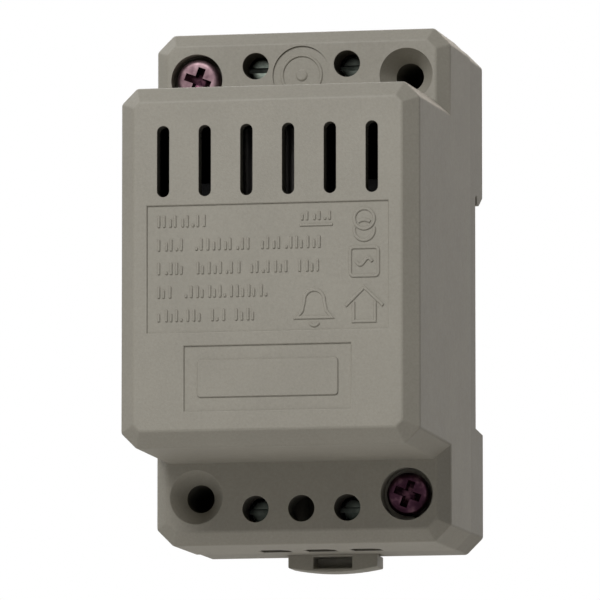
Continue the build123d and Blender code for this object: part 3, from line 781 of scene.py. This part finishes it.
def cover_screws():
    """Pan heads with a cross recess, and the thread that bites in the base."""
    low, high = box_of("cover_screws")
    upper = (low.x + COVER_RADIUS, high.z - COVER_RADIUS)
    lower = (high.x - COVER_RADIUS, low.z + COVER_RADIUS)
    thread = (low.y + COVER_START, high.y - COVER_TIP, COVER_SHANK, COVER_PITCH, COVER_THREAD)
    profile = [(r, low.y + y) for r, y in COVER_HEAD] + [(COVER_SHANK, low.y + COVER_TALL)]
    profile += threaded(*thread) + [(AXIS, high.y)]
    body, tool = bmesh.new(), bmesh.new()
    for x, z in (upper, lower):
        lathe(body, profile, x, z, COVER_STEPS)
        cross_recess(tool, x, low.y, z)
    piece = new_piece("cover_screw_pair", body, "plated_screw", "housing", "cover_screws")
    piece.data.materials.append(SHADED_SCREW)
    # the lower screw gets the darker plating: painted shade under the nose
    for face in piece.data.polygons:
        face.material_index = int(face.center.z < 0)
    # the recess walls get the darker plating: painted shade
    combine(piece, tool, "DIFFERENCE", RECESS_SHADE)
    smooth(piece)


# Profile of a terminal screw's crown, as radius and depth under its top
TERMINAL_CROWN = [(AXIS, 0.0), (1.35, 0.0), (1.6, 0.06), (1.85, 0.2), (2.1, 0.45)]
TERMINAL_RIM, TERMINAL_TALL = 0.75, 2.0
TERMINAL_SHANK = 1.5
TERMINAL_PITCH, TERMINAL_THREAD = 0.5, 0.16
# Depth of the thread's start under the head's top, and length of the plain tip
TERMINAL_START, TERMINAL_TIP = 2.4, 0.4
TERMINAL_STEPS = 40
SLOT_HALF, SLOT_DEPTH, SLOT_OVER = 0.4, 1.0, 0.5
# Faces in front of this depth are the top, which gets painted shade or painted light
SHADED_FACE_DEPTH = 0.04


def terminal_screw(node, face_shading):
    """Cheese head with a slot and a face with painted shade or painted light, on the body that
    turns with it.
    """
    low, high = box_of(node)
    x, z = (low.x + high.x) / 2, (low.z + high.z) / 2
    radius = (high.x - low.x) / 2
    head = TERMINAL_CROWN + [(radius, TERMINAL_RIM), (radius, TERMINAL_TALL)]
    profile = [(r, low.y + y) for r, y in head] + [(TERMINAL_SHANK, low.y + TERMINAL_TALL)]
    start, end = low.y + TERMINAL_START, high.y - TERMINAL_TIP
    profile += threaded(start, end, TERMINAL_SHANK, TERMINAL_PITCH, TERMINAL_THREAD)
    body, tool = bmesh.new(), bmesh.new()
    lathe(body, profile + [(AXIS, high.y)], x, z, TERMINAL_STEPS)
    reach, half = radius + SLOT_OVER, SLOT_HALF
    corners = ((reach, half), (-reach, half), (-reach, -half), (reach, -half))
    levels = (low.y - SLOT_OVER, low.y + SLOT_DEPTH)
    loft(tool, [[place(x + cx, y, z + cz) for cx, cz in corners] for y in levels])
    piece = new_piece(node + "_slotted", body, "terminal_steel", node, node)
    piece.data.materials.append(face_shading)
    for face in piece.data.polygons:
        # the top face gets the face's painted shade or painted light
        face.material_index = int(face.center.y < (low.y + SHADED_FACE_DEPTH) * MM)
    # the slot's walls get the dark face material as painted shade
    combine(piece, tool, "DIFFERENCE", HOLE_SHADE)
    smooth(piece)


cover_screws()
for name in [n for n in nodes if "_screw_" in n]:
    # one terminal screw's face gets painted light, the others painted shade
    terminal_screw(name, HOLE_LIGHT if name == "primary_screw_left" else HOLE_SHADE)


SPRING_LEGS = 7
SPRING_THICK = 0.38
SPRING_BEND = 0.3
SPRING_STEPS = 6
# Half the angle that a fold would have with straight legs, for the reach of its corner
FOLD_HALF = math.radians(30)
SPRING_GAP = 0.02
# Room for the strip at each end, as a share of its thickness
END_SHARE = 0.6


def spring_path(low, high):
    """Middle line of the folded strip in X and Z."""
    overshoot = SPRING_BEND * (1 / math.sin(FOLD_HALF) - 1)
    half = high.x + overshoot - SPRING_THICK / 2 - SPRING_GAP
    room = SPRING_THICK * END_SHARE
    rise = (high.z - low.z - 2 * room) / SPRING_LEGS
    folds = []
    for i in range(SPRING_LEGS + 1):
        folds.append(Vector((half * (-1) ** i, low.z + room + i * rise)))
    folds[0].x = folds[-1].x = 0.0
    return rounded_path(folds, SPRING_BEND, SPRING_STEPS)


def leaf_spring():
    """Folded strip for the rail clip's spring, in its rest shape."""
    low, high = box_of("clip_spring")
    path = spring_path(low, high)
    count = len(path)
    left, right = [], []
    for i, point in enumerate(path):
        along = (path[min(i + 1, count - 1)] - path[max(i - 1, 0)]).normalized()
        across = Vector((-along.y, along.x)) * SPRING_THICK / 2
        left.append(point + across)
        right.append(point - across)
    outline = left + right[::-1]
    mesh = bmesh.new()
    rows = [[mesh.verts.new(place(p.x, y, p.y)) for p in outline] for y in (low.y, high.y)]
    for k in range(2 * count):
        after = (k + 1) % (2 * count)
        mesh.faces.new((rows[0][k], rows[0][after], rows[1][after], rows[1][k]))
    for row in rows:
        for k in range(count - 1):
            mesh.faces.new((row[k], row[k + 1], row[2 * count - 2 - k], row[2 * count - 1 - k]))
    spring = new_piece("spring_leaf", mesh, "spring_steel", "housing", "clip_spring")
    smooth(spring)
    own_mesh(spring)


leaf_spring()


# A relief reaches this far into its field, so that no gap shows
SINK = 0.05
# A relief keeps its full width up to this share of its height
STEEP = 0.5
LINE_WIDTH = 0.5
# Half the flat top of a raised line, as a share of its width
LINE_TOP = 0.27
# Section of a raised line, as a share of its width and a height over the field
LINE_SECTION = (
    (-0.5, -SINK),
    (-0.5, RELIEF * STEEP),
    (-LINE_TOP, RELIEF),
    (LINE_TOP, RELIEF),
    (0.5, RELIEF * STEEP),
    (0.5, -SINK),
)
MITRE_LIMIT = 0.35
BOX_STEPS = 3
LEAST_RADIUS = 0.05


def arc(x, z, radius, start, end, steps):
    turns = [math.radians(start + (end - start) * k / steps) for k in range(steps + 1)]
    return [(x + radius * math.cos(t), z + radius * math.sin(t)) for t in turns]


def circle(x, z, radius, steps):
    """Points of a full ring, with the first one only once."""
    return arc(x, z, radius, 0, 360 - 360 / steps, steps - 1)


def rounded_box(x, z, width, height, radius):
    """Points of a rectangle with rounded corners about a centre."""
    points = []
    for sx, sz, start in ((1, 1, 0), (-1, 1, 90), (-1, -1, 180), (1, -1, 270)):
        corner_x = x + sx * (width / 2 - radius)
        corner_z = z + sz * (height / 2 - radius)
        points += arc(corner_x, corner_z, radius, start, start + 90, BOX_STEPS)
    return points


def raised_outline(mesh, outline, crown, level, height):
    """Closed low relief: an outline in X and Z at the field, and a smaller one on top."""
    steps = ((outline, level + SINK), (outline, level - height * STEEP), (crown, level - height))
    loft(mesh, [[place(x, y, z) for x, z in points] for points, y in steps])


def bar(mesh, x0, x1, z, tall, height, radius, cut):
    """Raised block on one of the front fields, with a softened rim."""
    width, middle = x1 - x0, (x0 + x1) / 2
    outline = rounded_box(middle, z, width, tall, radius)
    top_radius = max(radius - cut, LEAST_RADIUS)
    crown = rounded_box(middle, z, width - 2 * cut, tall - 2 * cut, top_radius)
    raised_outline(mesh, outline, crown, FIELD, height)


def stroke(mesh, points, level, closed=False):
    """Raised line of even width along points in X and Z, with mitred corners."""
    spots = [Vector(p) for p in points]
    count = len(spots)
    rings = []
    for i, spot in enumerate(spots):
        before = spots[i - 1] if i > 0 or closed else 2 * spot - spots[1]
        after = spots[(i + 1) % count] if i < count - 1 or closed else 2 * spot - spots[i - 1]
        a, b = (spot - before).normalized(), (after - spot).normalized()
        side = Vector((-a.y - b.y, a.x + b.x)).normalized()
        side /= max(MITRE_LIMIT, side.dot(Vector((-a.y, a.x))))
        ring = []
        for share, height in LINE_SECTION:
            p = spot + side * LINE_WIDTH * share
            ring.append(place(p.x, level - height, p.y))
        rings.append(ring)
    loft(mesh, rings, closed)


TICK_WIDTH = 0.42
TICK_STEPS = (0.8, 0.95, 0.7, 1.15, 0.7, 0.85, 0.7, 1.0, 0.9)
TICK_HEIGHTS = (1.8, 1.8, 1.25, 1.8, 1.25, 1.8, 0.5)
TICK_RADIUS, TICK_CUT = 0.14, 0.1


def ticks(mesh, x0, x1, z, first, share=1.0):
    """Row of plain upright strokes on one base line, between two places."""
    x, k = x0, first
    while x + TICK_WIDTH < x1:
        tall = TICK_HEIGHTS[k % len(TICK_HEIGHTS)] * share
        bar(mesh, x, x + TICK_WIDTH, z + tall / 2, tall, RELIEF, TICK_RADIUS, TICK_CUT)
        x += TICK_STEPS[k % len(TICK_STEPS)]
        k += 1


# Rows of the label: place over its middle, and start and end of each group of strokes
LABEL_ROWS = [
    (7.1, [(-16.6, -9.2)]),
    (3.6, [(-16.6, -12.3), (-10.9, -2.4), (-1.0, 8.0)]),
    (0.1, [(-16.6, -12.1), (-10.7, -4.0), (-2.6, 3.2), (4.6, 8.4)]),
    (-3.4, [(-16.6, -13.9), (-12.5, 0.6)]),
    (-6.9, [(-16.6, -9.9), (-8.5, -6.3), (-4.9, -1.0)]),
]
# Base line under a row's middle, and where the next group starts in the list of strokes
ROW_DROP = 0.9
GROUP_SHIFT = 3
# Small row with a line under it, each as start, end and place over the label's middle
SMALL_ROW = (5.0, 9.6, 6.8)
SMALL_FIRST, SMALL_SHARE = 2, 0.75
UNDERLINE = (4.8, 9.8, 6.1)
UNDERLINE_TALL, UNDERLINE_RADIUS, UNDERLINE_CUT = 0.4, 0.15, 0.08
# Places of the signs against the label's middle
SIGN_X = 14.5
RINGS_Z, WAVE_Z, HOUSE_Z = 6.0, 0.5, -6.0
BELL_X, BELL_Z = 7.0, -5.0
SIGN_STEPS = 24


def interlaced_rings(x, z):
    """Upper ring, and the two stretches of the lower one that keep clear of it."""
    radius, half_apart = 1.5, 0.85
    lower = z - half_apart
    return [
        (circle(x, z + half_apart, radius, SIGN_STEPS), True),
        (arc(x, lower, radius, 54, 126, 8), False),
        (arc(x, lower, radius, 165, 375, 16), False),
    ]


def boxed_wave(x, z):
    """Square with one wave in it."""
    width, radius = 4.2, 0.5
    reach, swing, steps = 1.2, 0.5, 12
    wave = []
    for k in range(-steps, steps + 1):
        wave.append((x + reach * k / steps, z + swing * math.sin(math.pi * k / steps)))
    return [(rounded_box(x, z, width, width, radius), True), (wave, False)]


def bell(x, z):
    """Bell with its clapper, about the middle of its dome."""
    dome_radius, clapper_radius, clapper_drop = 1.5, 0.7, 3.1
    flank = [(2.6, -2.6), (1.8, -1.6), (1.5, -0.2)]
    left = [(x - across, z + up) for across, up in flank]
    right = [(x + across, z + up) for across, up in reversed(flank)]
    dome = arc(x, z, dome_radius, 170, 10, 8)
    clapper = arc(x, z - clapper_drop, clapper_radius, 200, 340, 6)
    return [(left + dome + right, True), (clapper, False)]


def house(x, z):
    """Roof, and the walls under it, about the middle of the eaves."""
    roof = [(-2.8, 0.0), (0.0, 2.7), (2.8, 0.0)]
    walls = [(-1.6, 0.55), (-1.6, -2.3), (1.6, -2.3), (1.6, 0.55)]
    return [([(x + across, z + up) for across, up in line], False) for line in (roof, walls)]


def label_relief():
    """Rows of plain strokes and simple signs, in place of the moulded data."""
    mesh = bmesh.new()
    first = 0
    for z, groups in LABEL_ROWS:
        for x0, x1 in groups:
            ticks(mesh, x0, x1, LABEL_MID + z - ROW_DROP, first)
            first += GROUP_SHIFT
    x0, x1, z = SMALL_ROW
    ticks(mesh, x0, x1, LABEL_MID + z, SMALL_FIRST, SMALL_SHARE)
    x0, x1, z = UNDERLINE
    rim = (UNDERLINE_RADIUS, UNDERLINE_CUT)
    bar(mesh, x0, x1, LABEL_MID + z, UNDERLINE_TALL, RELIEF, *rim)
    signs = interlaced_rings(SIGN_X, RINGS_Z) + boxed_wave(SIGN_X, WAVE_Z)
    signs += bell(BELL_X, BELL_Z) + house(SIGN_X, HOUSE_Z)
    for points, closed in signs:
        stroke(mesh, [(x, LABEL_MID + z) for x, z in points], FIELD, closed)
    new_piece("label_relief", mesh, "housing", "housing")


PLATE_HALF, PLATE_TALL, PLATE_RELIEF = 10.6, 5.6, 0.25
PLATE_RADIUS, PLATE_CUT = 0.5, 0.12


def blank_plate():
    """Plain raised plate on the lower field."""
    mesh = bmesh.new()
    rim = (PLATE_RADIUS, PLATE_CUT)
    bar(mesh, -PLATE_HALF, PLATE_HALF, NAME_MID, PLATE_TALL, PLATE_RELIEF, *rim)
    new_piece("blank_plate", mesh, "housing", "housing")


MARK_RADIUS, MARK_STEPS = 3.0, 48
BUTTON_FOOT, BUTTON_TOP = 0.9, 0.7


def mark_ring():
    """Ring and gate button in the round field of the upper shoulder."""
    mesh = bmesh.new()
    level = SHOULDER + FIELD_DEPTH
    stroke(mesh, circle(0, MARK_MID, MARK_RADIUS, MARK_STEPS), level, closed=True)
    foot, top = (circle(0, MARK_MID, radius, SIGN_STEPS) for radius in (BUTTON_FOOT, BUTTON_TOP))
    raised_outline(mesh, foot, top, level, RELIEF)
    new_piece("mark_ring", mesh, "housing", "housing")


label_relief()
blank_plate()
mark_ring()


# Metres and degrees from here on
FLOOR_SIZE, FLOOR_LEVEL = 6.0, -0.2
FLOOR_TONES = [(0.3, (0.8, 0.8, 0.79)), (0.7, (0.84, 0.84, 0.83))]
FLOOR_ROUGHNESS = 0.8
WORLD_WHITE = (1, 1, 1, 1)
WORLD_LIGHT, WORLD_STRENGTH = (1.0, 0.99, 0.97, 1), 0.02
WHITE, WARM = (1, 1, 1), (1.0, 0.86, 0.72)
LAMP_AIM, LAMP_DISTANCE = Vector((0, -0.02, 0.002)), 0.8
YAW, PITCH = 11.81, -6.367
CAMERA_AIM, CAMERA_DISTANCE = Vector((0, -0.0225, 0.002)), 1.2987
# Shift of the aim that puts the object in its place in the picture
AIM_LEFT, AIM_DOWN = 0.00018, 0.00212
LENS, SENSOR = 520.3, 36.0
CLIP_START, CLIP_END = 0.05, 20.0


def plain_floor():
    """Pale floor below the object, which hangs as it would on its rail; it has no underside."""
    bpy.ops.mesh.primitive_plane_add(size=FLOOR_SIZE, location=(0, 0, FLOOR_LEVEL))
    floor = bpy.context.object
    floor.name = "floor"
    s = Shader("pale_floor")
    s.link(s.ramp(s.noise(scale=3), FLOOR_TONES), "Base Color")
    s.put("Roughness", FLOOR_ROUGHNESS)
    below = s.tree.nodes.new("ShaderNodeNewGeometry").outputs["Backfacing"]
    clear = s.tree.nodes.new("ShaderNodeBsdfTransparent")
    mix = s.tree.nodes.new("ShaderNodeMixShader")
    s.tree.links.new(below, mix.inputs["Fac"])
    s.tree.links.new(s.surface.outputs["BSDF"], mix.inputs[1])
    s.tree.links.new(clear.outputs["BSDF"], mix.inputs[2])
    s.tree.links.new(mix.outputs["Shader"], s.tree.nodes["Material Output"].inputs["Surface"])
    floor.data.materials.append(s.material)


def white_world():
    """White to the camera and to reflections, and faint in the light that it sheds."""
    world = bpy.data.worlds.new("studio")
    bpy.context.scene.world = world
    world.use_nodes = True
    tree = world.node_tree
    tree.nodes.clear()
    output = tree.nodes.new("ShaderNodeOutputWorld")
    path = tree.nodes.new("ShaderNodeLightPath")
    seen = tree.nodes.new("ShaderNodeBackground")
    seen.inputs["Color"].default_value = WORLD_WHITE
    shed = tree.nodes.new("ShaderNodeBackground")
    shed.inputs["Color"].default_value = WORLD_LIGHT
    shed.inputs["Strength"].default_value = WORLD_STRENGTH
    either = tree.nodes.new("ShaderNodeMath")
    either.operation = "MAXIMUM"
    tree.links.new(path.outputs["Is Camera Ray"], either.inputs[0])
    tree.links.new(path.outputs["Is Glossy Ray"], either.inputs[1])
    mix = tree.nodes.new("ShaderNodeMixShader")
    tree.links.new(either.outputs["Value"], mix.inputs["Fac"])
    tree.links.new(shed.outputs["Background"], mix.inputs[1])
    tree.links.new(seen.outputs["Background"], mix.inputs[2])
    tree.links.new(mix.outputs["Shader"], output.inputs["Surface"])


def outward(azimuth, elevation):
    """Direction away from the object; azimuth 0 is in front and 90 to the right."""
    a, e = math.radians(azimuth), math.radians(elevation)
    return Vector((math.sin(a) * math.cos(e), -math.cos(a) * math.cos(e), math.sin(e)))


def lamp(name, azimuth, elevation, size, power, colour=WHITE):
    """Soft square lamp aimed at the object."""
    out = outward(azimuth, elevation)
    data = bpy.data.lights.new(name, "AREA")
    data.shape = "SQUARE"
    data.size = size
    data.energy = power
    data.color = colour
    light = bpy.data.objects.new(name, data)
    bpy.context.scene.collection.objects.link(light)
    light.visible_camera = False
    light.location = LAMP_AIM + out * LAMP_DISTANCE
    light.rotation_mode = "QUATERNION"
    light.rotation_quaternion = (-out).to_track_quat("-Z", "Y")


def camera():
    """Long lens from the front, right of centre and slightly below."""
    out, yaw = outward(YAW, PITCH), math.radians(YAW)
    right = Vector((math.cos(yaw), math.sin(yaw), 0))
    over = right.cross(-out)
    aim = CAMERA_AIM - right * AIM_LEFT - over * AIM_DOWN
    data = bpy.data.cameras.new("camera")
    data.lens = LENS
    data.sensor_width = SENSOR
    data.clip_start, data.clip_end = CLIP_START, CLIP_END
    view = bpy.data.objects.new("camera", data)
    bpy.context.scene.collection.objects.link(view)
    turn = Matrix((right, over, out)).transposed().to_4x4()
    view.matrix_world = Matrix.Translation(aim + out * CAMERA_DISTANCE) @ turn
    bpy.context.scene.camera = view


plain_floor()
white_world()
lamp("key", azimuth=-12, elevation=34, size=0.32, power=4.4)
lamp("right_rim", azimuth=160, elevation=36, size=0.5, power=1.5, colour=WARM)
lamp("left_rim", azimuth=-140, elevation=35, size=0.5, power=2.6)
camera()
bpy.context.scene.view_settings.view_transform = "Standard"
